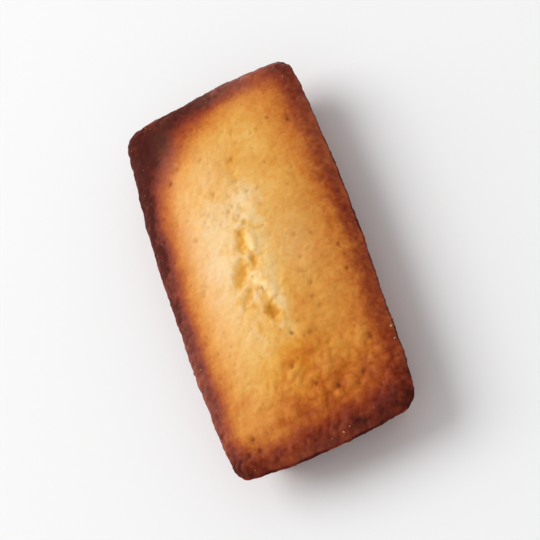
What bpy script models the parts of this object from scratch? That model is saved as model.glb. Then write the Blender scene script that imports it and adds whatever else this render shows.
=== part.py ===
# Financier: a small almond cake, baked in a shallow bar mould and turned out whole.
# The mould gives it tapered walls and a flat base. Above the rim the crumb has risen
# to a low roof along the length, and the crust has split along the crest.
# Length along Y, width along X, resting on Z = 0 with the origin under its middle.

import math

import bmesh
import bpy
from mathutils import Vector, noise

MM = 0.001

# The mould's part of the cake.
LENGTH = 85 * MM  # over the bowed ends
WIDTH = 43 * MM  # over the bowed sides
MOULD_DEPTH = 12 * MM  # base to rim
END_BOW = 1.4 * MM  # the middle of an end stands this far past its corners
SIDE_BOW = 1.9 * MM
BASE_BOWING = 0.4  # share of the bow that is left at the base
CORNER_RADIUS = 3 * MM
WALL_TAPER = 4 * MM  # the base is this much smaller on every side
RIM_LIP = 0.2 * MM  # the crust bulges out this far, just under the rim
LIP_DROP = 0.6 * MM
BASE_FILLET = 1.6 * MM

# The risen part.
SHOULDER_RISE = 1.5 * MM  # steeper rise just inside the rim
SHOULDER_WIDTH = 4 * MM
ROOF_RISE = 5.0 * MM  # from the shoulder up to the crest
CREST_ROUNDING = 0.8  # 0 is a sharp ridge with straight flanks
END_FALL = 2.1  # a higher power keeps the crest level nearer to the ends
CREST_OFFSET = -0.04  # of the half width, towards -X

# The split along the crest: hollows sink below the crust and crumb stands up beside them.
# Each row runs from one point to another: x, y, x, y, radius, height.
SPLIT = (
    (2.6, 23.4, 2.2, 21.3, 2.1, -0.3),
    (-0.7, 8.9, 3.2, 6.2, 1.2, -0.35),
    (-0.6, 5.4, -1.6, 1.6, 1.3, -0.4),
    (-2.2, -1.4, -4.2, -4.2, 1.5, -0.75),
    (-3.0, -7.9, -2.2, -10.4, 1.3, -0.4),
    (-0.2, -12.7, 0.7, -14.0, 1.5, -0.85),
    (2.3, -18.6, 2.5, -19.4, 1.1, -0.45),
    (1.4, 4.6, 1.1, 1.8, 1.5, 0.5),
    (-0.9, -4.4, 0.1, -6.6, 1.5, 0.5),
    (1.2, -7.7, 1.9, -9.6, 1.5, 0.5),
    (2.6, -11.6, 2.1, -16.2, 1.4, 0.35),
)

# How uneven the bake is: height of the unevenness, width of one swell, seed.
WOBBLE_X = (0.45 * MM, 16 * MM, 3.1)
WOBBLE_Y = (0.45 * MM, 16 * MM, 7.7)
TOP_SWELL = (0.45 * MM, 13 * MM, 5.3)
TOP_RIPPLE = (0.16 * MM, 4.5 * MM, 1.9)

# Facets.
COLUMNS = 42
ROWS = 80
CROWDING_X = 0.3  # draws the columns to the crest and the rim
CROWDING_Y = 0.15
WALL_STEPS = 2
FILLET_STEPS = 3

CRUST_COLOUR = (0.68, 0.36, 0.11, 1.0)
CRUST_ROUGHNESS = 0.7
SHARPEST_SMOOTH = math.radians(50)


def crowded(step, crowding):
    """Moves a step from -1 to 1 so that steps lie closer at the middle and at both ends."""
    return step - crowding * math.sin(2 * math.pi * step) / (2 * math.pi)


def plan_point(s, t, inset):
    """Where (s, t), each from -1 to 1, falls in the bowed plan pulled in by an inset.

    Gives x, y, the same place as shares of the half width and half length, and how far
    it is from the edge.
    """
    half_x = WIDTH / 2 - SIDE_BOW - inset
    half_y = LENGTH / 2 - END_BOW - inset
    past_x = abs(s) * half_x - (half_x - CORNER_RADIUS)
    past_y = abs(t) * half_y - (half_y - CORNER_RADIUS)
    edge = CORNER_RADIUS - max(past_x, past_y)
    if past_x > 0 and past_y > 0:  # a square corner's steps are drawn onto its arc
        squeeze = max(past_x, past_y) / math.hypot(past_x, past_y)
        past_x *= squeeze
        past_y *= squeeze
    u = math.copysign((half_x - CORNER_RADIUS + past_x) / half_x, s)
    v = math.copysign((half_y - CORNER_RADIUS + past_y) / half_y, t)
    bowing = 1 - (1 - BASE_BOWING) * min(max(inset / WALL_TAPER, 0), 1)
    x = u * (half_x + SIDE_BOW * bowing * (1 - v * v))
    y = v * (half_y + END_BOW * bowing * (1 - u * u))
    return x, y, u, v, edge


def roof(u, v, edge):
    """Height over the rim of the smooth risen top."""
    shoulder = 1 - (1 - min(edge / SHOULDER_WIDTH, 1)) ** 3
    slant = (u - CREST_OFFSET * (1 - u * u)) ** 2
    fall = math.sqrt(slant + CREST_ROUNDING**2) - CREST_ROUNDING
    full_fall = math.sqrt(1 + CREST_ROUNDING**2) - CREST_ROUNDING
    along = 1 - abs(v) ** END_FALL
    return SHOULDER_RISE * shoulder + ROOF_RISE * (1 - fall / full_fall) * along


def split(x, y):
    """Height added by the hollows and the raised crumb of the split."""
    here = Vector((x, y)) / MM
    height = 0
    for x1, y1, x2, y2, radius, rise in SPLIT:
        start = Vector((x1, y1))
        run = Vector((x2, y2)) - start
        along = min(max((here - start).dot(run) / run.length_squared, 0), 1)
        away = (here - start - along * run).length / radius
        height += rise * math.exp(-away * away)
    return height * MM


def uneven(x, y, z, kind):
    height, width, seed = kind
    return height * noise.noise(Vector((x, y, z)) / width + Vector((seed, -seed, 2 * seed)))


def wall_rings():
    """Inset and height of each ring from the rim down to the base."""
    slope = math.atan2(WALL_TAPER, MOULD_DEPTH)
    wall_end = BASE_FILLET * (1 - math.sin(slope))
    wall_start = MOULD_DEPTH - 2 * LIP_DROP
    yield -RIM_LIP, MOULD_DEPTH - LIP_DROP
    for step in range(WALL_STEPS + 1):
        z = wall_start + (wall_end - wall_start) * step / WALL_STEPS
        yield WALL_TAPER * (1 - z / MOULD_DEPTH), z
    fillet_inset = WALL_TAPER * (1 - wall_end / MOULD_DEPTH) + BASE_FILLET * math.cos(slope)
    for step in range(1, FILLET_STEPS):
        turn = slope + (math.pi / 2 - slope) * step / FILLET_STEPS
        yield fillet_inset - BASE_FILLET * math.cos(turn), BASE_FILLET * (1 - math.sin(turn))
    yield fillet_inset, 0


def flat_pattern(rings):
    """The cake's faces before it has a shape: a grid for the top, with (s, t) as X and Y.

    Each ring of the wall is the grid's edge drawn out once more, one lower in Z.
    """
    pattern = bmesh.new()
    bmesh.ops.create_grid(pattern, x_segments=COLUMNS, y_segments=ROWS, size=1)
    rim = [edge for edge in pattern.edges if edge.is_boundary]
    for _ in range(rings):
        drawn = bmesh.ops.extrude_edge_only(pattern, edges=rim)["geom"]
        rim = [item for item in drawn if isinstance(item, bmesh.types.BMEdge) and item.is_boundary]
        ring = {vert for edge in rim for vert in edge.verts}
        bmesh.ops.translate(pattern, verts=list(ring), vec=(0, 0, -1))
    base = bmesh.ops.edgeloop_fill(pattern, edges=rim)["faces"]
    bmesh.ops.poke(pattern, faces=base)
    return pattern


def place(vert, rings):
    """The point of the cake for one point of the flat pattern."""
    s = crowded(vert.co.x, CROWDING_X)
    t = crowded(vert.co.y, CROWDING_Y)
    ring = round(-vert.co.z)
    inset, z = rings[ring - 1] if ring else (0, MOULD_DEPTH)
    x, y, u, v, edge = plan_point(s, t, inset)
    if not ring:
        z += roof(u, v, edge) + split(x, y)
    x, y = x + uneven(x, y, z, WOBBLE_X), y + uneven(x, y, z, WOBBLE_Y)
    swell = uneven(x, y, 0, TOP_SWELL) + uneven(x, y, 0, TOP_RIPPLE)
    return x, y, z + swell * min(z / MOULD_DEPTH, 1)


def crust_material():
    crust = bpy.data.materials.new("baked_crust")
    crust.use_nodes = True
    shader = crust.node_tree.nodes["Principled BSDF"]
    shader.inputs["Base Color"].default_value = CRUST_COLOUR
    shader.inputs["Roughness"].default_value = CRUST_ROUGHNESS
    shader.inputs["Metallic"].default_value = 0
    crust.diffuse_color = CRUST_COLOUR
    return crust


def financier():
    rings = list(wall_rings())
    cake = flat_pattern(len(rings))
    for vert in cake.verts:
        vert.co = place(vert, rings)
    xs = [vert.co.x for vert in cake.verts]
    ys = [vert.co.y for vert in cake.verts]
    middle = Vector((min(xs) + max(xs), min(ys) + max(ys), 0)) / 2
    bmesh.ops.translate(cake, verts=cake.verts[:], vec=-middle)
    bmesh.ops.recalc_face_normals(cake, faces=cake.faces[:])
    mesh = bpy.data.meshes.new("financier")
    cake.to_mesh(mesh)
    cake.free()
    mesh.shade_smooth()
    mesh.set_sharp_from_angle(angle=SHARPEST_SMOOTH)
    mesh.materials.append(crust_material())
    return bpy.data.objects.new("financier", mesh)


def main():
    for obj in list(bpy.data.objects):
        bpy.data.objects.remove(obj, do_unlink=True)
    cakes = bpy.data.collections.new("financier_cake")
    bpy.context.scene.collection.children.link(cakes)
    cakes.objects.link(financier())


main()
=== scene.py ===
import math
import random
from collections import namedtuple

import bmesh
import bpy
from mathutils import Matrix, Quaternion, Vector, kdtree, noise


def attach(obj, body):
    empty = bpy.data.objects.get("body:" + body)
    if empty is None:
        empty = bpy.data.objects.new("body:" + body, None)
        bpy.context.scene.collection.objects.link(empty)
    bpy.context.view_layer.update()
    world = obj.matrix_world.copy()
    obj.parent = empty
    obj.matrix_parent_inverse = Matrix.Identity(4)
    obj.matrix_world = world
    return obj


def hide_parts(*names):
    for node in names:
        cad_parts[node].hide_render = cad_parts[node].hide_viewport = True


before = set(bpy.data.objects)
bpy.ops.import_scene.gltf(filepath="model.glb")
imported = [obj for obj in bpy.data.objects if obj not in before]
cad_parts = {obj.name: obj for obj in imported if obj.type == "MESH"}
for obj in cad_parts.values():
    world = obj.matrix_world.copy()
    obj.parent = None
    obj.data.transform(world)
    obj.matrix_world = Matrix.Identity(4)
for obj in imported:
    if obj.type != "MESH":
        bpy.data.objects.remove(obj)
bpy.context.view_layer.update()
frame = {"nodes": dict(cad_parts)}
scene = bpy.context.scene
mm = 0.001
print("frame loaded:", ", ".join(frame["nodes"]))


def ease(value, low, high):  # smooth step from 0 at low to 1 at high
    share = min(max((value - low) / (high - low), 0), 1)
    return share * share * (3 - 2 * share)


def roughAt(x, y, z, wide, seed):  # noise from about -1 to 1, its swells so many mm wide
    return noise.noise(Vector((x, y, z)) / (wide * mm) + Vector((seed, 3 * seed, -seed)))


def domesAt(x, y, z, wide, seed):  # the same, folded into domes half as wide with creases between them
    scale, drop, creaseRounding = 3, 0.85, 0.06  # these bring them back to about -1 to 1
    return scale * math.hypot(roughAt(x, y, z, wide, seed), creaseRounding) - drop


def layeredAt(x, y, z, layers):  # noises added up, each with its strength, mm wide and seed
    return sum(strength * roughAt(x, y, z, wide, seed) for strength, wide, seed in layers)


def patchesAt(x, y, patches):  # soft spots added up: x, y, half width, half length in mm, strength
    total = 0
    for middleX, middleY, halfWidth, halfLength, strength in patches:
        across = (x / mm - middleX) / halfWidth
        along = (y / mm - middleY) / halfLength
        total += strength * math.exp(-(across**2) - along**2)
    return total


cake = {
    "length": 85 * mm,  # over the bowed ends
    "width": 43 * mm,  # over the bowed sides
    "mouldDepth": 12 * mm,  # base to rim
    "endBow": 1.4 * mm,  # the middle of an end stands this far past its corners
    "sideBow": 1.9 * mm,
    "baseBowing": 0.4,  # share of the bow that is left at the base
    "cornerRadius": 3 * mm,
    "wallTaper": 4 * mm,  # the base is this much smaller on every side
    "rimLip": 0.2 * mm,  # the crust bulges out this far, just under the rim
    "lipDrop": 0.6 * mm,
    "baseFillet": 1.6 * mm,
    "shoulderRise": 1.5 * mm,  # steeper rise just inside the rim
    "shoulderWidth": 4 * mm,
    "roofRise": 5.0 * mm,  # from the shoulder up to the crest
    "crestRounding": 0.8,  # 0 is a sharp ridge with straight flanks
    "endFall": 2.1,  # a higher power keeps the crest level nearer to the ends
    "crestOffset": -0.04,  # of the half width, towards -X
    "wobbleX": (0.45 * mm, 16 * mm, 3.1),  # height of the unevenness, width of one swell, seed
    "wobbleY": (0.45 * mm, 16 * mm, 7.7),
    "topSwell": (0.45 * mm, 13 * mm, 5.3),
    "topRipple": (0.16 * mm, 4.5 * mm, 1.9),
    "columns": 170,  # of faces, on the top
    "rows": 340,
    "crowdingX": 0.3,  # draws the columns to the crest and the rim
    "crowdingY": 0.15,
    "lipSteps": 5,
    "wallSteps": 11,
    "filletSteps": 5,
    "baseInset": 7 * mm,  # of the last ring, under the base
    "baseColumns": 56,
    "baseRows": 130,
    "baseReach": 0.97,  # share of the way out to that ring: triangles fill the gap
}


def crowded(step, crowding):  # draws steps from -1 to 1 to the middle and both ends
    return step - crowding * math.sin(2 * math.pi * step) / (2 * math.pi)


def planPoint(s, t, inset):  # x, y, the same as shares of the half sizes, and how far the edge is
    halfX = cake["width"] / 2 - cake["sideBow"] - inset
    halfY = cake["length"] / 2 - cake["endBow"] - inset
    radius = cake["cornerRadius"]
    pastX = abs(s) * halfX - (halfX - radius)
    pastY = abs(t) * halfY - (halfY - radius)
    edge = radius - max(pastX, pastY)
    if pastX > 0 and pastY > 0:  # a square corner's steps are drawn onto its arc
        squeeze = max(pastX, pastY) / math.hypot(pastX, pastY)
        pastX *= squeeze
        pastY *= squeeze
    u = math.copysign((halfX - radius + pastX) / halfX, s)
    v = math.copysign((halfY - radius + pastY) / halfY, t)
    bowing = 1 - (1 - cake["baseBowing"]) * min(max(inset / cake["wallTaper"], 0), 1)
    x = u * (halfX + cake["sideBow"] * bowing * (1 - v * v))
    y = v * (halfY + cake["endBow"] * bowing * (1 - u * u))
    return x, y, u, v, edge


def roofHeight(u, v, edge):
    rounding = cake["crestRounding"]
    shoulder = 1 - (1 - min(edge / cake["shoulderWidth"], 1)) ** 3
    slant = (u - cake["crestOffset"] * (1 - u * u)) ** 2
    fall = math.sqrt(slant + rounding**2) - rounding
    fullFall = math.sqrt(1 + rounding**2) - rounding
    along = 1 - abs(v) ** cake["endFall"]
    return cake["shoulderRise"] * shoulder + cake["roofRise"] * (1 - fall / fullFall) * along


def uneven(x, y, z, kind):
    height, width, seed = kind
    return height * noise.noise(Vector((x, y, z)) / width + Vector((seed, -seed, 2 * seed)))


def wallRings():  # inset and height, ring by ring from the rim down and in under the base
    depth = cake["mouldDepth"]
    slope = math.atan2(cake["wallTaper"], depth)
    fillet = cake["baseFillet"]
    wallStart = depth - 2 * cake["lipDrop"]
    wallEnd = fillet * (1 - math.sin(slope))
    for step in range(1, cake["lipSteps"] + 1):
        share = step / (cake["lipSteps"] + 1)
        z = depth + (wallStart - depth) * share
        bulge = 2 * cake["rimLip"] * math.sin(math.pi * share)
        yield cake["wallTaper"] * (1 - z / depth) - bulge, z
    for step in range(cake["wallSteps"] + 1):
        z = wallStart + (wallEnd - wallStart) * step / cake["wallSteps"]
        yield cake["wallTaper"] * (1 - z / depth), z
    filletInset = cake["wallTaper"] * (1 - wallEnd / depth) + fillet * math.cos(slope)
    for step in range(1, cake["filletSteps"]):
        turn = slope + (math.pi / 2 - slope) * step / cake["filletSteps"]
        yield filletInset - fillet * math.cos(turn), fillet * (1 - math.sin(turn))
    yield filletInset, 0
    yield cake["baseInset"], 0


# The faces before they have a shape: a flat grid for the top, its edge drawn out once more and one
# lower for each ring of the wall, and a second grid for the base.
def flatPattern(rings):
    pattern = bmesh.new()
    bmesh.ops.create_grid(pattern, x_segments=cake["columns"], y_segments=cake["rows"], size=1)
    rim = [edge for edge in pattern.edges if edge.is_boundary]
    for _ in range(rings):
        drawn = bmesh.ops.extrude_edge_only(pattern, edges=rim)["geom"]
        rim = [item for item in drawn if isinstance(item, bmesh.types.BMEdge) and item.is_boundary]
        ring = {vert for edge in rim for vert in edge.verts}
        bmesh.ops.translate(pattern, verts=list(ring), vec=(0, 0, -1))
    columns, rows = cake["baseColumns"], cake["baseRows"]
    base = bmesh.ops.create_grid(pattern, x_segments=columns, y_segments=rows, size=cake["baseReach"])
    bmesh.ops.translate(pattern, verts=base["verts"], vec=(0, 0, -rings))
    gap = [edge for edge in pattern.edges if edge.is_boundary]
    bmesh.ops.triangle_fill(pattern, edges=gap, use_beauty=True, normal=(0, 0, -1))
    # the rings' faces come in another order each run, so all faces are sorted
    pattern.verts.index_update()
    pattern.faces.sort(key=lambda face: sum(vert.index**2 for vert in face.verts))
    return pattern


def extent(mesh, axis):
    values = [vert.co[axis] for vert in mesh.verts]
    return min(values), max(values)


def shapeCake(pattern, rings):
    # way in from the rim over the top, and negative down the wall and under the base
    fromRim = pattern.verts.layers.float.new("fromRim")
    for vert in pattern.verts:
        s = crowded(vert.co.x, cake["crowdingX"])
        t = crowded(vert.co.y, cake["crowdingY"])
        ring = round(-vert.co.z)
        inset, z = rings[ring - 1] if ring else (0, cake["mouldDepth"])
        x, y, u, v, edge = planPoint(s, t, inset)
        under = cake["mouldDepth"] - z + max(inset - cake["wallTaper"], 0) + edge
        vert[fromRim] = -under if ring else edge
        if not ring:
            z += roofHeight(u, v, edge)
        x, y = x + uneven(x, y, z, cake["wobbleX"]), y + uneven(x, y, z, cake["wobbleY"])
        swell = uneven(x, y, 0, cake["topSwell"]) + uneven(x, y, 0, cake["topRipple"])
        vert.co = x, y, z + swell * min(z / cake["mouldDepth"], 1)
    middle = Vector((sum(extent(pattern, 0)), sum(extent(pattern, 1)), 0)) / 2
    bmesh.ops.translate(pattern, verts=pattern.verts[:], vec=-middle)
    bmesh.ops.recalc_face_normals(pattern, faces=pattern.faces[:])
    pattern.normal_update()
    return fromRim


# The split along the crest. A stroke runs from one point to another, in mm: x, y, x, y, radius, height.
split = {
    "hollows": (
        (2.6, 23.4, 2.2, 21.3, 2.1, -0.1),
        (1.2, 19.3, 1.7, 18.2, 1.3, -0.08),
        (0.0, 5.6, -1.5, 2.2, 1.2, -0.3),
        (-2.4, -1.5, -4.5, -4.8, 1.6, -0.44),
        (-2.6, -7.3, -4.2, -8.8, 1.0, -0.32),
        (0.0, -12.4, 0.6, -14.1, 1.2, -0.54),
        (-3.0, -15.6, -3.0, -16.4, 0.8, -0.1),
        (5.7, -13.2, 5.0, -16.4, 1.3, -0.06),
    ),
    # these end in how pale they are
    "lumps": (
        (0.7, 3.6, 0.9, 1.4, 1.3, 0.22, 0.8),
        (3.2, -2.2, 3.0, -4.0, 2.2, 0.16, 0.0),
        (-0.7, -5.0, 0.5, -7.4, 1.9, 0.22, 0.85),
        (1.1, -8.4, 1.4, -9.8, 1.5, 0.2, 0.65),
        (2.5, -14.8, 1.6, -17.4, 1.6, 0.14, 0.45),
        (2.9, -11.4, 2.4, -13.6, 1.3, 0.1, 0.2),
        (3.2, 9.2, 2.6, 12.0, 2.4, 0.12, 0.5),
    ),
    "cracks": (
        (-0.9, 8.8, 0.9, 7.3, 0.7, -0.16),
        (0.9, 7.3, 3.8, 4.9, 0.7, -0.18),
        (2.9, -0.5, 0.4, -1.3, 0.6, -0.16),
        (0.4, -1.3, 0.2, -3.6, 0.65, -0.2),
        (-5.7, -11.9, -4.7, -10.6, 0.55, -0.12),
        (-4.7, -10.6, -2.7, -11.1, 0.55, -0.14),
        (3.7, -7.8, 2.9, -10.7, 0.7, -0.08),
        (-3.0, 16.2, -3.6, 15.2, 0.5, -0.12),
    ),
    # where the torn crumb is knobbly: no height
    "torn": (
        (0.8, 10.0, 0.4, 4.0, 2.3),
        (0.4, 4.0, -1.2, -5.0, 2.7),
        (-1.2, -5.0, 0.6, -11.0, 3.0),
        (0.6, -11.0, 1.2, -18.0, 2.5),
    ),
    "field": (9 * mm, -24 * mm, 28 * mm),  # all of it lies in this half width and between these ends
    # where a stroke ends, or starts to fade and ends, in its radii
    "hollowEnd": 1.45,
    "lumpEnd": 1.4,
    "crackEnd": 1.3,
    "paleFade": (0.3, 1.25),
    "tornFade": (0.35, 1.25),
    "lip": 0.08,  # of a hollow's depth, the crust stands up along its edge
    "lipWidth": 0.35,  # in the hollow's radii
    "raggedness": 0.65,  # mm, how far the torn edges stray
    "strays": ((2.1, 1), (0.9, 0.6)),  # mm wide, and share of the raggedness
    "straySeeds": (13, 17),  # along X, along Y
    "lumpStray": 0.4,  # the lumps' edges stray by this share of it
}


def strayAt(x, y):  # mm that a torn edge is moved, so that it runs unevenly
    stray = Vector((0, 0))
    for wide, share in split["strays"]:
        stray += Vector([roughAt(x, y, 0, wide, seed) for seed in split["straySeeds"]]) * share
    return stray * split["raggedness"]


def toStroke(here, stroke):  # distance to a stroke, in its radii
    start = Vector(stroke[0:2])
    run = Vector(stroke[2:4]) - start
    along = min(max((here - start).dot(run) / run.length_squared, 0), 1)
    return (here - start - along * run).length / stroke[4]


def splitAt(x, y):  # mm sunk, mm raised, and how torn and how pale the crust is
    sunk = raised = torn = pale = 0
    halfWidth, near, far = split["field"]
    if abs(x) > halfWidth or y > far or y < near:
        return sunk, raised, torn, pale
    plain = Vector((x, y)) / mm
    stray = strayAt(x, y)
    here = plain + stray
    for stroke in split["hollows"]:
        away = toStroke(here, stroke)
        sunk += stroke[5] * (1 - ease(away, 0, split["hollowEnd"]))
        fromLip = (away - split["hollowEnd"]) / split["lipWidth"]
        raised -= stroke[5] * split["lip"] * math.exp(-(fromLip**2))
    for stroke in split["lumps"]:
        away = toStroke(plain + split["lumpStray"] * stray, stroke)
        raised += stroke[5] * (1 - ease(away, 0, split["lumpEnd"]))
        pale = max(pale, stroke[6] * (1 - ease(away, *split["paleFade"])))
    for stroke in split["cracks"]:
        sunk += stroke[5] * (1 - ease(toStroke(here, stroke), 0, split["crackEnd"]))
    for stroke in split["torn"]:
        torn = max(torn, 1 - ease(toStroke(here, stroke), *split["tornFade"]))
    return sunk, raised, torn, pale


# Pores. Those that stand out come first, in mm: x, y, radius, depth, and how long for their width.
pitting = {
    "big": (
        (-1.1, -4.8, 0.45, 0.16, 1.3),
        (0.0, -8.0, 0.6, 0.34, 1.6),
        (2.3, -19.2, 0.55, 0.34, 1.5),
        (-1.4, 11.0, 0.5, 0.14, 1.2),
        (0.3, 9.1, 0.5, 0.14, 1.4),
        (-3.6, 16.6, 0.6, 0.15, 1.3),
        (-1.3, 11.1, 0.5, 0.13, 1.2),
        (-5.7, 12.6, 0.6, 0.1, 1.5),
        (-7.1, 11.7, 0.5, 0.1, 1.2),
        (3.5, 13.8, 0.5, 0.12, 1.2),
        (5.9, 13.6, 0.5, 0.15, 1.4),
        (1.9, 17.1, 0.6, 0.13, 1.2),
        (2.4, 22.6, 0.7, 0.2, 1.2),
        (8.9, 18.6, 0.5, 0.12, 1.3),
        (16.2, 26.3, 0.6, 0.4, 1.2),
        (-12.0, 24.2, 0.6, 0.3, 1.2),
        (12.3, 28.5, 0.5, 0.2, 1.3),
        (11.7, 11.7, 0.5, 0.12, 1.6),
        (9.6, 0.4, 0.6, 0.13, 1.3),
        (12.8, -0.5, 0.6, 0.13, 1.5),
        (9.3, -4.7, 0.6, 0.15, 1.3),
        (17.1, -4.9, 0.5, 0.24, 1.4),
        (17.0, -10.5, 0.5, 0.24, 1.3),
        (9.5, -10.8, 0.55, 0.18, 1.7),
        (8.8, -13.7, 0.65, 0.18, 1.2),
        (9.6, -15.9, 0.65, 0.17, 1.4),
        (5.9, -20.5, 0.65, 0.17, 1.3),
        (-0.1, -25.4, 0.6, 0.24, 1.2),
        (16.4, -25.9, 0.65, 0.3, 1.3),
        (3.1, -30.4, 0.7, 0.28, 1.1),
        (7.1, -32.6, 0.7, 0.24, 1.6),
        (12.6, -31.8, 0.6, 0.2, 1.2),
        (11.1, -33.7, 0.5, 0.2, 1.3),
        (15.0, -35.8, 0.6, 0.26, 1.1),
        (-13.3, -35.1, 0.75, 0.36, 1.4),
        (-15.2, -37.7, 0.7, 0.36, 1.2),
        (-12.8, -37.6, 0.6, 0.3, 1.3),
    ),
    "bigTurns": (0.9, 2.2),  # radians, which way they run
    # how many, radius and depth in mm, longest stretch
    "small": ((230, (0.18, 0.4), (0.04, 0.15), 1.4), (80, (0.4, 0.62), (0.05, 0.13), 2.0)),
    "margin": 7 * mm,  # their field is this much smaller than the cake
    "reach": 2.2 * mm,  # no pore is felt from further off
    "sides": 1.2,  # higher is steeper
    "poreShadeFalloff": 2.2,  # painted shade in the pores: higher is smaller
    "fullDark": 0.3,  # mm, the painted shade in a pore is darkest from this depth on
    "frayed": ((0.5, 0.5, 15),),  # share of the radius, mm wide, seed
    # on the wall and the base
    "wall": (420, (0.15, 0.42), (0.05, 0.22)),
    "wallStart": 1.5 * mm,  # under the rim
    "wallReach": 1.2 * mm,
    "wallFullDark": 0.25,
    "wallPoreShade": 0.8,  # painted shade in the wall's pores, lighter than on the top
    "seed": 11,
}


def plantTree(places):
    tree = kdtree.KDTree(len(places))
    for index, place in enumerate(places):
        tree.insert(place, index)
    tree.balance()
    return tree


def scatterPores():  # each pore: place, radius, depth, stretch and which way it runs
    dice = random.Random(pitting["seed"])
    pores = []
    for x, y, radius, depth, stretch in pitting["big"]:
        turn = dice.uniform(*pitting["bigTurns"])
        pores.append((Vector((x, y, 0)) * mm, radius, depth, stretch, turn))
    for count, (small, wide), (shallow, deep), longest in pitting["small"]:
        for _ in range(count):
            x = dice.uniform(-0.5, 0.5) * (cake["width"] - pitting["margin"])
            y = dice.uniform(-0.5, 0.5) * (cake["length"] - pitting["margin"])
            size = dice.random() ** 2  # most are small
            depth = shallow + (deep - shallow) * dice.random() * (0.5 + 0.5 * size)
            turn = dice.uniform(0, math.pi)
            stretch = dice.uniform(1, longest)
            pores.append((Vector((x, y, 0)), small + (wide - small) * size, depth, stretch, turn))
    return plantTree([pore[0] for pore in pores]), pores


def scatterWallPores(body, fromRim):  # each pore: radius and depth
    dice = random.Random(pitting["seed"] + 1)
    count, radii, depths = pitting["wall"]
    spots = [vert.co.copy() for vert in body.verts if vert[fromRim] < -pitting["wallStart"]]
    chosen = dice.sample(spots, count)
    return plantTree(chosen), [(dice.uniform(*radii), dice.uniform(*depths)) for _ in chosen]


def poreAt(tree, pores, x, y, z):  # mm deep, and how dark its painted shade is
    depth = dark = 0
    frayed = 1 + layeredAt(x, y, z, pitting["frayed"])
    for place, index, _ in tree.find_range((x, y, 0), pitting["reach"]):
        _, radius, deep, stretch, turn = pores[index]
        offset = Vector((x, y)) - place.xy
        offset.rotate(Matrix.Rotation(-turn, 2))
        away = math.hypot(offset.x / stretch, offset.y) / mm / (radius * frayed)
        depth += deep * math.exp(-pitting["sides"] * away * away)
        # painted shade, darker in deeper pores
        dark = max(dark, math.exp(-pitting["poreShadeFalloff"] * away * away) * min(deep / pitting["fullDark"], 1))
    return depth, dark


def wallPoreAt(tree, sizes, place):
    depth = dark = 0
    for _, index, away in tree.find_range(place, pitting["wallReach"]):
        radius, deep = sizes[index]
        share = math.exp(-((away / mm / radius) ** 2) * pitting["sides"])
        depth += deep * share
        # painted shade, darker in deeper pores
        dark = max(dark, share * min(deep / pitting["wallFullDark"], 1))
    return depth, dark * pitting["wallPoreShade"]


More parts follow.
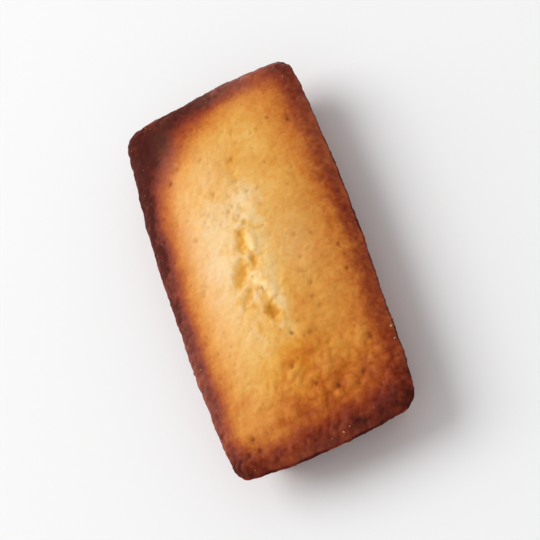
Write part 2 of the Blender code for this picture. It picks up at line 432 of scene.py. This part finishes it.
# How brown the oven and the mould baked it, from 0, pale crumb, to 1, the darkest crust.
# A side's heat takes away paleness: a dark band, its strength, start and end in mm from the edge,
# and a slow fade, its strength and reach in mm.
browning = {
    "middle": 0.29,  # where no side's heat reaches
    "left": (0.42, 1.7, 5.6, 0.64, 7.6),
    "right": (0.3, 1.5, 5.3, 0.57, 8.8),
    "far": (0.4, 2.2, 7.8, 0.23, 15.2),
    "near": (0.35, 2.5, 6.7, 0.45, 12.1),
    "wander": ((0.7, 6, 8.8), (0.4, 1.6, 1.2)),  # of the bands' edges: mm, mm wide, seed
    "scorchedEnd": (0.44, 25.6, 40.2),  # strength, start and end in mm from the middle towards -Y
    "scorchSide": (0.35, -12, -2),  # share of it that the -X side gets, and from which x to which
    "scorchedAndShadedCorner": (0.9, 20.8, 36.0, (-0.63, 0.777)),  # partly scorched and partly painted shadow: strength, start, end, and which way it lies
    "toastAhead": 3,  # mm that its toasted colour runs ahead of it
    "mottles": ((0.05, 8, 2.2), (0.04, 3.2, 4.1)),  # strength, mm wide, seed
    # x, y, half width, half length in mm, darker or paler
    "patches": (
        # the crest and the flanks
        # the left flank is lighter here: partly painted light falling from the left, partly uneven
        # baking
        (-8.4, 4.8, 7.1, 16.5, -0.3),
        (-13.8, 7.5, 7.4, 16.3, 0.21),
        (2.3, -1.9, 2.4, 20.9, -0.18),
        (1.0, 0.0, 2.0, 8.0, 0.08),
        (2.4, 22.4, 2.0, 2.4, 0.1),
        (2.4, 12.0, 4.8, 3.6, -0.11),
        (-8.5, -3.0, 2.0, 2.5, 0.08),
        (3.0, -12.0, 1.5, 4.5, -0.08),
        (5.2, -12.4, 1.5, 5.0, 0.08),
        (7.5, -15.0, 2.5, 2.5, 0.08),
        (2.8, -18.8, 2.2, 2.8, -0.1),
        (-3.8, -19.4, 4.4, 5.0, -0.15),
        (7.5, 27.0, 4.0, 4.5, -0.09),
        # the browner end
        (3.6, -24.6, 7.7, 9.0, 0.24),
        (2.6, -24.0, 3.4, 1.6, 0.08),
        (-1.0, -24.6, 2.0, 1.5, 0.08),
        (13.0, -27.2, 3.0, 2.0, -0.07),
        (0.0, -30.0, 2.2, 3.6, -0.08),
        (9.5, -34.4, 5.2, 1.8, -0.1),
        (-8.0, -37.2, 5.0, 2.0, -0.07),
        (9.5, -40.1, 7.0, 2.0, 0.06),
        # the rims and the corners
        (-14.8, -32.6, 4.0, 4.4, -0.17),
        (17.2, -32.2, 2.6, 5.6, -0.1),
        (15.0, 32.0, 3.5, 3.5, -0.07),
        # browner near the far corner, partly painted shadow
        (-13.5, 32.0, 5.2, 7.0, 0.08),
        (5.0, 39.5, 9.0, 4.0, 0.13),
        # painted shadow along this stretch of the left rim
        (-19.0, 14.0, 2.8, 9.0, 0.07),
        (-20.6, -4.0, 1.6, 7.0, 0.05),
        (-18.2, -20.0, 2.1, 11.0, 0.09),
        (20.1, 8.0, 0.8, 7.0, 0.06),
        (18.4, 1.0, 1.0, 13.0, -0.07),
        (20.3, 30.0, 1.5, 5.0, 0.05),
    ),
    # tints, laid over it in the same way
    "ochre": (
        (3.0, -2.0, 1.9, 10.0, 0.38),
        (2.4, -24.0, 5.0, 2.8, 0.9),
        (2.0, -34.0, 8.0, 5.0, 0.25),
    ),
    # a pale painted sheen, mostly on the left flank that faces the lights
    "sheenPatches": (
        (-10.6, 3.0, 2.9, 22.0, 0.24),
        (-4.0, 22.0, 4.0, 7.0, 0.15),
        (9.0, -1.0, 4.0, 7.0, 0.1),
    ),
    # painted sheen on the rims, with some sugar dusting
    "dustAndSheenPatches": (
        (7.0, 41.5, 8.0, 6.0, 0.9),
        (-21.0, -18.0, 4.5, 16.0, 0.38),
        (21.0, 26.0, 4.5, 12.0, 0.28),
        (0.0, -42.5, 11.0, 2.2, 0.35),
    ),
    "wall": 0.83,
    # on down from the rim, in mm: darker by this, whole and gone; darker by this, starting and whole;
    # and how brown the base is, starting and whole
    "underRim": (0.12, 0.8, 5),
    "foot": (0.05, 9, 12),
    "base": (0.73, 13, 20),
    "wallMottles": ((0.12, 9, 3), (0.08, 3, 5), (0.04, 1.2, 8)),
}


def spared(distance, side):  # share of the paleness that a side's heat leaves
    band, start, end, fade, reach = browning[side]
    spare = 1 - band * (1 - ease(distance, start, end))
    return spare * (1 - fade * math.exp(-((distance / reach) ** 2)))


def bakeAt(x, y):
    across, along = x / mm, y / mm
    wander = layeredAt(x, y, 0, browning["wander"])
    v = y / (cake["length"] / 2)
    u = x / (cake["width"] / 2)
    toSide = (cake["width"] / 2 - cake["sideBow"] * v * v) / mm + wander
    toEnd = (cake["length"] / 2 - cake["endBow"] * u * u) / mm + wander
    pale = (1 - browning["middle"]) * spared(toSide + across, "left") * spared(toSide - across, "right")
    pale *= spared(toEnd - along, "far") * spared(toEnd + along, "near")
    strength, start, end = browning["scorchedEnd"]
    least, fading, full = browning["scorchSide"]
    side = least + (1 - least) * ease(across, fading, full)
    pale *= 1 - strength * ease(-along + wander, start, end) * side
    # the far corner is browner, partly scorched and partly painted shadow
    strength, start, end, way = browning["scorchedAndShadedCorner"]
    pale *= 1 - strength * ease(Vector((across, along)).dot(Vector(way)) + wander, start, end)
    return 1 - pale + patchesAt(x, y, browning["patches"]) + layeredAt(x, y, 0, browning["mottles"])


def shadedCornerToastAt(x, y):  # 1 at the corner that the oven scorched and that is painted in shadow
    _, start, end, way = browning["scorchedAndShadedCorner"]
    return ease((Vector((x, y)) / mm).dot(Vector(way)), start - browning["toastAhead"], end)


def wallBakeAt(place, below):  # below: mm under the rim, and on from there in under the base
    bake = browning["wall"]
    darker, start, end = browning["underRim"]
    bake += darker * (1 - ease(below, start, end))
    darker, start, end = browning["foot"]
    bake += darker * ease(below, start, end)
    base, start, end = browning["base"]
    bake += (base - bake) * ease(below, start, end)
    return bake + layeredAt(*place, browning["wallMottles"])


crust = {
    # mm high, mm wide, seed
    "grain": ((0.07, 1.9, 9.5), (0.09, 0.95, 4.75), (0.02, 0.5, 2.5)),
    "wallSwells": ((0.07, 4.5, 12),),
    "mottles": ((0.035, 1.6, 21), (0.02, 0.8, 23)),  # in how brown it is
    # mm high, mm wide, seed, and how much lighter the crust is on it than in its creases: on the rim
    # and the rough patch a painted highlight on the tops and painted shade in the creases, on the torn
    # crumb partly the crumb's own lighter colour
    "rimLumps": (0.1, 3.8, 2.7, 0.04),
    "rimGrains": (0.15, 0.9, 1.7, 0.05),
    "roughLumps": (0.22, 4.4, 6.1, 0.05),
    "roughGrains": (0.2, 2.3, 9, 0.05),
    "crumbLumps": (0.2, 1.7, 4.4, 0.1),  # of the torn crumb
    "crumbGrains": (0.1, 0.9, 8.2, 0.05),
    "topEdge": (-0.3, 0.4),  # mm in from the rim, where the top's crust starts and is whole
    "wallGrain": 0.3,  # share of the grain that the wall has
    "rimBand": (-2.2, -0.4, 1.6, 5.0),  # where the granular rim starts, is whole, fades and ends
    "roughEnd": ((6.0, -30.5, 13.0, 9.0, 1),),  # the rough patch near the -Y end
    "smoothLumps": 0.1,  # share of its lumps and grains that the rest of the top has
    "smoothGrains": 0.2,
    "tornPores": 0.5,  # the torn crumb's pores are this much shallower
    "hollowShadeBrowner": 0.15,  # painted shade in the split's hollows: browner for each mm sunk
    "hollowShadeTint": 1.6,  # painted shade in the hollows, for each mm sunk
    "creaseShadeTint": 0.4,  # painted shade in the torn crumb's creases
    "knobPale": 0.15,  # its knobs are more of a pale crumb by this
    "shadedCornerToast": 0.5,  # of the scorched corner, partly painted shadow
    "patchToast": (0.3, 0.6, 0.4),  # of the rough patch, less on its lumps and grains by these, so its pits are painted deeper, partly as shade
    "dustAndSheenSpecks": (0.06, 0.06, 0.15),  # painted sheen with some sugar dusting on the rim, more on its lumps and grains by these, as painted highlights
}

Bump = namedtuple("Bump", "noise height paler")  # from about -1 to 1, mm high, and how much lighter, partly painted light


def bumpAt(kind, x, y, z, shape=roughAt):
    high, wide, seed, paler = crust[kind]
    here = shape(x, y, z, wide, seed)
    return Bump(here, high * here, paler * here)


def rimFinish(x, y, z, inside):  # mm raised, how much lighter with painted highlights on its lumps, and how much painted sheen with some sugar dusting, by the mm in from the rim
    start, whole, fading, end = crust["rimBand"]
    share = (1 - ease(inside, fading, end)) * ease(inside, start, whole)
    lump = bumpAt("rimLumps", x, y, z, domesAt)
    grain = bumpAt("rimGrains", x, y, z)
    # painted sheen and dusting, more on the lumps' tops as painted highlights
    dustAndSheenSpecks, lumpMore, grainMore = crust["dustAndSheenSpecks"]
    dustAndSheenSpecks = max(dustAndSheenSpecks + lumpMore * lump.noise + grainMore * grain.noise, 0)
    return share * (lump.height + grain.height), share * (lump.paler + grain.paler), share * dustAndSheenSpecks


def topFinish(x, y, z, onTop, pores):  # mm raised, and what is painted on the crust
    rough = patchesAt(x, y, crust["roughEnd"])
    lump = bumpAt("roughLumps", x, y, z, domesAt)
    grain = bumpAt("roughGrains", x, y, z, domesAt)
    knob = bumpAt("crumbLumps", x, y, z)
    crumb = bumpAt("crumbGrains", x, y, z)
    sunk, raised, torn, pale = splitAt(x, y)
    depth, dark = poreAt(*pores, x, y, z)

    height = (crust["smoothLumps"] + rough) * lump.height
    height += (crust["smoothGrains"] + rough) * grain.height
    height = onTop * (height - depth * (1 - crust["tornPores"] * torn))
    height += sunk + raised + torn * (knob.height + crumb.height)

    # the split's hollows are painted browner, as shade
    bake = bakeAt(x, y) + layeredAt(x, y, z, crust["mottles"]) + crust["hollowShadeBrowner"] * min(-sunk, 1)
    # the lumps' tops are painted lighter and their creases darker: painted light and shade, on the torn
    # crumb partly its own tone
    bake -= rough * (lump.paler + grain.paler) + torn * (knob.paler + crumb.paler)
    toast, lumpLess, grainLess = crust["patchToast"]
    toast = rough * (toast - lumpLess * lump.noise - grainLess * grain.noise)
    toast = max(toast, crust["shadedCornerToast"] * shadedCornerToastAt(x, y), 0)
    # painted shade in the creases between the torn crumb's knobs
    crease = crust["creaseShadeTint"] * torn * max(-knob.noise, 0)
    return height, {
        "bake": bake,
        "crumb": min(max(pale + crust["knobPale"] * knob.noise * torn, 0), 1),
        "pit": dark,
        "hollow": min(crust["hollowShadeTint"] * -sunk + crease, 1),
        "toast": toast + patchesAt(x, y, browning["ochre"]),
        "milk": patchesAt(x, y, browning["sheenPatches"]),
        "dust": patchesAt(x, y, browning["dustAndSheenPatches"]),
    }


def wallFinish(place, inside, pores):
    depth, dark = wallPoreAt(*pores, place)
    height = layeredAt(*place, crust["wallSwells"]) - depth
    return height, {"bake": wallBakeAt(place, -inside), "pit": dark}


def finishCrust(body, fromRim):
    names = ("bake", "crumb", "pit", "hollow", "toast", "milk", "dust")
    layers = {name: body.verts.layers.float.new(name) for name in names}
    topPores = scatterPores()
    wallPores = scatterWallPores(body, fromRim)
    heights = []
    for vert in body.verts:
        x, y, z = vert.co
        inside = vert[fromRim] / mm
        onTop = ease(inside, *crust["topEdge"])
        raised, paler, dustAndSheenSpecks = rimFinish(x, y, z, inside)
        if inside > 0:
            height, paint = topFinish(x, y, z, onTop, topPores)
            paint["dust"] += dustAndSheenSpecks
        else:
            height, paint = wallFinish(vert.co, inside, wallPores)
        # the rim's lumps are painted lighter: painted highlights
        paint["bake"] -= paler
        for name, value in paint.items():
            vert[layers[name]] = value
        grainShare = crust["wallGrain"] + (1 - crust["wallGrain"]) * onTop
        heights.append(height + raised + grainShare * layeredAt(x, y, z, crust["grain"]))
    for vert, height in zip(body.verts, heights):  # only now, along the smooth shape's normals
        vert.co += vert.normal * height * mm
        vert.co.z = max(vert.co.z, 0)


class Wire:  # an output socket: sums, differences and products with it add Math nodes
    def __init__(self, recipe, socket):
        self.recipe = recipe
        self.socket = socket

    def maths(self, operation, *terms):
        return self.recipe.add("ShaderNodeMath", {"operation": operation}, dict(enumerate(terms)))

    def __add__(self, other):
        return self.maths("ADD", self, other)

    def __sub__(self, other):
        return self.maths("SUBTRACT", self, other)

    def __rsub__(self, other):
        return self.maths("SUBTRACT", other, self)

    def __mul__(self, other):
        return self.maths("MULTIPLY", self, other)

    __radd__ = __add__
    __rmul__ = __mul__


class Recipe:  # one material and its nodes
    def __init__(self, name):
        self.material = bpy.data.materials.new(name)
        self.material.use_nodes = True
        self.tree = self.material.node_tree
        self.tree.nodes.clear()
        self.place = self.add("ShaderNodeTexCoord", output="Object")

    def add(self, kind, settings=None, sockets=None, output=0):  # a socket gets a wire or a value
        node = self.tree.nodes.new(kind)
        for name, value in (settings or {}).items():
            if name == "stops":
                self.setStops(node.color_ramp.elements, value)
            else:
                setattr(node, name, value)
        for name, value in (sockets or {}).items():
            if isinstance(value, Wire):
                self.tree.links.new(value.socket, node.inputs[name])
            else:
                node.inputs[name].default_value = value
        return Wire(self, node.outputs[output]) if node.outputs else None

    def setStops(self, elements, stops):
        elements[0].position, elements[1].position = stops[0][0], stops[-1][0]
        elements[0].color, elements[1].color = stops[0][1], stops[-1][1]
        for position, colour in stops[1:-1]:
            elements.new(position).color = colour

    def painted(self, name):  # what finishCrust painted on the points
        return self.add("ShaderNodeAttribute", {"attribute_name": name}, output="Fac")

    def cloud(self, size, seed, detail=2.0):  # noise about 0, size in mm
        at = self.add("ShaderNodeMapping", {}, {"Vector": self.place, "Location": (seed, seed, seed)})
        sockets = {"Vector": at, "Scale": 1 / (size * mm), "Detail": detail}
        return self.add("ShaderNodeTexNoise", {}, sockets) - 0.5

    def clouds(self, rows):  # some of them added up: size in mm, seed, strength
        first, *others = [self.cloud(size, seed) * strength for size, seed, strength in rows]
        return sum(others, first)

    def between(self, value, low, high):  # smooth, 0 below low and 1 above high
        sockets = {"Value": value, "From Min": low, "From Max": high}
        return self.add("ShaderNodeMapRange", {"interpolation_type": "SMOOTHSTEP"}, sockets)

    def ramp(self, value, stops):
        colours = [(position, linear(colour)) for position, colour in stops]
        return self.add("ShaderNodeValToRGB", {"stops": colours}, {"Fac": value})

    def blend(self, share, first, second, way="MIX"):  # each colour a wire, or from 0 to 255
        settings = {"data_type": "RGBA", "blend_type": way, "clamp_factor": True}
        first, second = (item if isinstance(item, Wire) else linear(item) for item in (first, second))
        return self.add("ShaderNodeMix", settings, {0: share, 6: first, 7: second}, output=2)

    def bumped(self, height, strength, distance):
        sockets = {"Strength": strength, "Distance": distance, "Height": height}
        return self.add("ShaderNodeBump", {}, sockets)

    def finish(self, sockets):
        shader = self.add("ShaderNodeBsdfPrincipled", {}, sockets)
        self.add("ShaderNodeOutputMaterial", {}, {"Surface": shader})
        return self.material


def linear(colour):  # from 0 to 255, as a screen shows it, to what a socket takes
    shares = [c / 255 for c in colour]
    return (*(c / 12.92 if c <= 0.04 else ((c + 0.055) / 1.055) ** 2.4 for c in shares), 1)


crustFinish = {
    # colours from 0 to 255, from pale crumb to scorched crust
    "bake": (
        (0.0, (240, 208, 158)),
        (0.12, (232, 195, 140)),
        (0.25, (229, 177, 96)),
        (0.38, (221, 159, 73)),
        (0.5, (211, 139, 58)),
        (0.6, (196, 115, 43)),
        (0.7, (171, 86, 30)),
        (0.8, (146, 59, 22)),
        (0.9, (112, 34, 11)),
        (1.0, (70, 16, 7)),
    ),
    # clouds in the bake: mm wide, seed, strength
    "mottles": ((2.2, 0.1, 0.12), (0.7, 0.3, 0.16)),
    "brownMottles": ((0.55, 0.9, 0.07),),
    "brownFrom": (0.4, 0.65),  # the bakes at which they start and are whole
    "rimFrom": (0.6, 0.85),  # the same for the rim's own finish
    "rimCalm": 0.4,  # the mottles are this much weaker there
    # tints that are blended in, how much of them, and the clouds that they keep to
    # the pale painted sheen
    "milk": (230, 188, 168),
    "crumb": (255, 221, 159),
    "crumbShare": 0.8,
    "crumbRagged": ((0.9, 0.7, 0.4),),
    "crumbFrom": (0.3, 1.0),
    # the mauve painted sheen on the rims, with some sugar dusting
    "dust": (168, 114, 96),
    "dustAndSheenShare": 0.5,
    "dustAndSheenClouds": (1.3, 1.9, 3.0),  # mm wide, seed, detail
    "dustAndSheenFrom": (-0.45, 0.35),
    # tints that are multiplied in
    "golden": (250, 228, 180),
    "goldenShare": 0.45,
    "goldenClouds": (1.7, 1.3),
    "goldenFrom": (0.0, 0.2),
    "toast": (255, 245, 168),  # takes the grey out of the deep browns
    # painted shade in the pores, darker in deeper ones
    "pore": (160, 122, 48),
    "poreShare": 0.85,
    # painted shade, from the crust's surface to the deepest hollow
    "hollow": (
        (0.0, (255, 255, 255)),
        (0.35, (250, 240, 204)),
        (0.67, (240, 219, 152)),
        (1.0, (208, 188, 126)),
    ),
    "roughness": 0.56,
    "rimSheen": 0.14,  # the buttery rim is this much less rough
    "charRoughness": 0.3,  # and the scorched crust this much more
    "charFrom": (0.88, 1.0),
    "grain": (0.5, 0.2, 3.0),  # in the bump: mm wide, seed, detail
    "fineGrain": (0.22, 0.4, 1.0),
    "fineShare": 0.5,
    "bump": (0.5, 0.12 * mm),  # strength, distance
    "specular": 0.11,
    "glow": 0.25,  # share of the light that comes back out of the crumb
    "glowDepth": 1.4 * mm,
    "glowRadius": (1.0, 0.45, 0.18),  # of red, green and blue light
}


def bakedCrust():
    recipe = Recipe("bakedCrust")
    bake = recipe.painted("bake")
    rim = recipe.between(bake, *crustFinish["rimFrom"])
    mottled = bake + recipe.clouds(crustFinish["mottles"]) * (1 - rim * crustFinish["rimCalm"])
    brown = recipe.between(bake, *crustFinish["brownFrom"])
    mottled = mottled + brown * recipe.clouds(crustFinish["brownMottles"])
    colour = recipe.ramp(mottled, crustFinish["bake"])

    golden = recipe.between(recipe.cloud(*crustFinish["goldenClouds"]), *crustFinish["goldenFrom"])
    golden = golden * crustFinish["goldenShare"]
    colour = recipe.blend(golden, colour, crustFinish["golden"], "MULTIPLY")
    # a pale painted sheen
    colour = recipe.blend(recipe.painted("milk"), colour, crustFinish["milk"])
    crumb = recipe.painted("crumb") + recipe.clouds(crustFinish["crumbRagged"])
    crumb = recipe.between(crumb, *crustFinish["crumbFrom"]) * crustFinish["crumbShare"]
    colour = recipe.blend(crumb, colour, crustFinish["crumb"])
    # painted shade in the split's hollows and creases
    hollow = recipe.ramp(recipe.painted("hollow"), crustFinish["hollow"])
    colour = recipe.blend(1, colour, hollow, "MULTIPLY")
    colour = recipe.blend(recipe.painted("toast"), colour, crustFinish["toast"], "MULTIPLY")
    # painted shade in the pores
    pit = recipe.painted("pit") * crustFinish["poreShare"]
    colour = recipe.blend(pit, colour, crustFinish["pore"], "MULTIPLY")
    # painted sheen on the rims, with some sugar dusting
    dust = recipe.between(recipe.cloud(*crustFinish["dustAndSheenClouds"]), *crustFinish["dustAndSheenFrom"])
    dust = recipe.painted("dust") * dust * crustFinish["dustAndSheenShare"]
    colour = recipe.blend(dust, colour, crustFinish["dust"])

    charred = recipe.between(bake, *crustFinish["charFrom"])
    roughness = crustFinish["roughness"] - rim * crustFinish["rimSheen"]
    fine = recipe.cloud(*crustFinish["fineGrain"]) * crustFinish["fineShare"]
    return recipe.finish(
        {
            "Base Color": colour,
            "Roughness": roughness + charred * crustFinish["charRoughness"],
            "Normal": recipe.bumped(recipe.cloud(*crustFinish["grain"]) + fine, *crustFinish["bump"]),
            "Specular IOR Level": crustFinish["specular"],
            "Subsurface Weight": crustFinish["glow"],
            "Subsurface Scale": crustFinish["glowDepth"],
            "Subsurface Radius": crustFinish["glowRadius"],
        }
    )


# Crumbs and sugar grains that stick to the rim.
crumbs = {
    "count": 90,
    "radius": (0.1, 0.24),  # mm
    "band": (-1.2, 3.2),  # mm in from the rim
    # larger ones: x, y and radius in mm
    "large": (
        (20.4, -27.6, 0.42),
        (19.6, -31.0, 0.36),
        (20.6, -24.9, 0.3),
        (4.4, -41.2, 0.32),
        (5.8, -40.6, 0.26),
    ),
    "stretch": ((0.7, 1.2), (0.7, 1.2), (0.55, 0.9)),  # sideways both ways, and up
    "knobbly": (0.8, 1.15),
    "standing": 0.1,  # the middle is this share of the radius over the crust
    "seed": 5,
    "colour": (226, 172, 122),
    "dark": (138, 70, 40),
    "clouds": (1.4, 0.6),  # mm wide, seed: from dark to light
    "lightFrom": (-0.02, 0.26),
    "grain": (0.2, 0.3),
    "roughness": 0.45,
    "bump": (0.4, 0.06 * mm),  # strength, distance
    "specular": 0.3,
}


def addCrumb(heap, place, lean, radius, dice):
    made = bmesh.ops.create_icosphere(heap, subdivisions=1, radius=radius * mm)["verts"]
    stretch = [dice.uniform(*limits) for limits in crumbs["stretch"]]
    bmesh.ops.scale(heap, verts=made, vec=stretch)
    for vert in made:
        vert.co *= dice.uniform(*crumbs["knobbly"])
    twist = lean.to_track_quat("Z", "Y") @ Quaternion((0, 0, 1), dice.uniform(0, 2 * math.pi))
    bmesh.ops.rotate(heap, verts=made, matrix=twist.to_matrix())
    bmesh.ops.translate(heap, verts=made, vec=place + lean * radius * crumbs["standing"] * mm)


def rimCrumbs(body, fromRim):
    dice = random.Random(crumbs["seed"])
    low, high = (edge * mm for edge in crumbs["band"])
    spots = [(vert.co.copy(), vert.normal.copy()) for vert in body.verts if low < vert[fromRim] < high]
    small, big = crumbs["radius"]
    heap = bmesh.new()
    for place, lean in dice.sample(spots, crumbs["count"]):
        addCrumb(heap, place, lean, small + (big - small) * dice.random() ** 2, dice)
    for x, y, radius in crumbs["large"]:
        place, lean = min(spots, key=lambda spot: (spot[0].xy - Vector((x, y)) * mm).length)
        addCrumb(heap, place, lean, radius, dice)
    return heap


def crumbCrust():
    recipe = Recipe("crumbCrust")
    tone = recipe.between(recipe.cloud(*crumbs["clouds"]), *crumbs["lightFrom"])
    return recipe.finish(
        {
            "Base Color": recipe.blend(tone, crumbs["dark"], crumbs["colour"]),
            "Roughness": crumbs["roughness"],
            "Normal": recipe.bumped(recipe.cloud(*crumbs["grain"]), *crumbs["bump"]),
            "Specular IOR Level": crumbs["specular"],
        }
    )


stage = {
    "azimuth": 28.0,  # degrees round the cake, from its -Y end towards +X
    "elevation": 60.8,
    "roll": -51.0,
    "distance": 436 * mm,
    "pixelsPerMm": 4.86,  # at the cake
    "frame": 540,  # pixels
    "sensor": 36.0,
    "clipStart": 10 * mm,
    "aim": (0, 0, 8 * mm),
    # each light: where it stands in the picture (right, up, towards the viewer), how far off and
    # how large in metres, and its watts
    "key": ((-0.9, 0.33, 0.4), 1.6, 1.3, 16),
    "window": ((-0.97, 0.1, -0.02), 1.6, 1.0, 4.4),
    "sky": 0.62,
    "floor": (236, 236, 236),
    "floorRoughness": 0.8,
    "floorSize": 3,  # metres from the middle to each side
}


def newPiece(name, made):
    mesh = bpy.data.meshes.new(name)
    made.to_mesh(mesh)
    made.free()
    mesh.shade_smooth()
    piece = bpy.data.objects.new(name, mesh)
    scene.collection.objects.link(piece)
    return piece


def aimedCamera():
    azimuth, elevation = math.radians(stage["azimuth"]), math.radians(stage["elevation"])
    flat = math.cos(elevation)
    back = Vector((math.sin(azimuth) * flat, -math.cos(azimuth) * flat, math.sin(elevation)))
    camera = bpy.data.objects.new("camera", bpy.data.cameras.new("camera"))
    scene.collection.objects.link(camera)
    turn = (-back).to_track_quat("-Z", "Y") @ Quaternion((0, 0, 1), math.radians(stage["roll"]))
    camera.location = Vector(stage["aim"]) + back * stage["distance"]
    camera.rotation_euler = turn.to_euler()
    camera.data.sensor_width = stage["sensor"]
    focal = stage["pixelsPerMm"] / mm * stage["distance"]  # in pixels
    camera.data.lens = stage["sensor"] * focal / stage["frame"]
    camera.data.clip_start = stage["clipStart"]
    scene.camera = camera
    return turn


def softLight(name, turn):
    direction, distance, size, power = stage[name]
    lamp = bpy.data.objects.new(name, bpy.data.lights.new(name, "AREA"))
    scene.collection.objects.link(lamp)
    lamp.data.shape = "DISK"
    lamp.data.size = size
    lamp.data.energy = power
    away = (turn @ Vector(direction)).normalized()
    lamp.location = away * distance
    lamp.rotation_euler = (-away).to_track_quat("-Z", "Y").to_euler()


def paleFloor():
    floorMesh = bmesh.new()
    bmesh.ops.create_grid(floorMesh, x_segments=1, y_segments=1, size=stage["floorSize"])
    floor = newPiece("floor", floorMesh)
    finish = {"Base Color": linear(stage["floor"]), "Roughness": stage["floorRoughness"]}
    floor.data.materials.append(Recipe("paleFloor").finish(finish))


def whiteSky():
    world = bpy.data.worlds.new("studio")
    world.use_nodes = True
    sky = world.node_tree.nodes["Background"].inputs
    sky["Color"].default_value = (1, 1, 1, 1)
    sky["Strength"].default_value = stage["sky"]
    scene.world = world


rings = list(wallRings())
body = flatPattern(len(rings))
print("pattern laid out:", len(body.verts), "points")
fromRim = shapeCake(body, rings)
print("cake shaped")
finishCrust(body, fromRim)
print("crust worked")
heap = rimCrumbs(body, fromRim)
bakedCake = newPiece("bakedCake", body)
bakedCake.data.materials.append(bakedCrust())
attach(bakedCake, "root")
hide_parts("financier")

stuckCrumbs = newPiece("rimCrumbs", heap)
stuckCrumbs.data.materials.append(crumbCrust())
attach(stuckCrumbs, "root")
print("crumbs stuck on")

turn = aimedCamera()
softLight("key", turn)
softLight("window", turn)
paleFloor()
whiteSky()
scene.view_settings.view_transform = "Standard"
print("stage set")
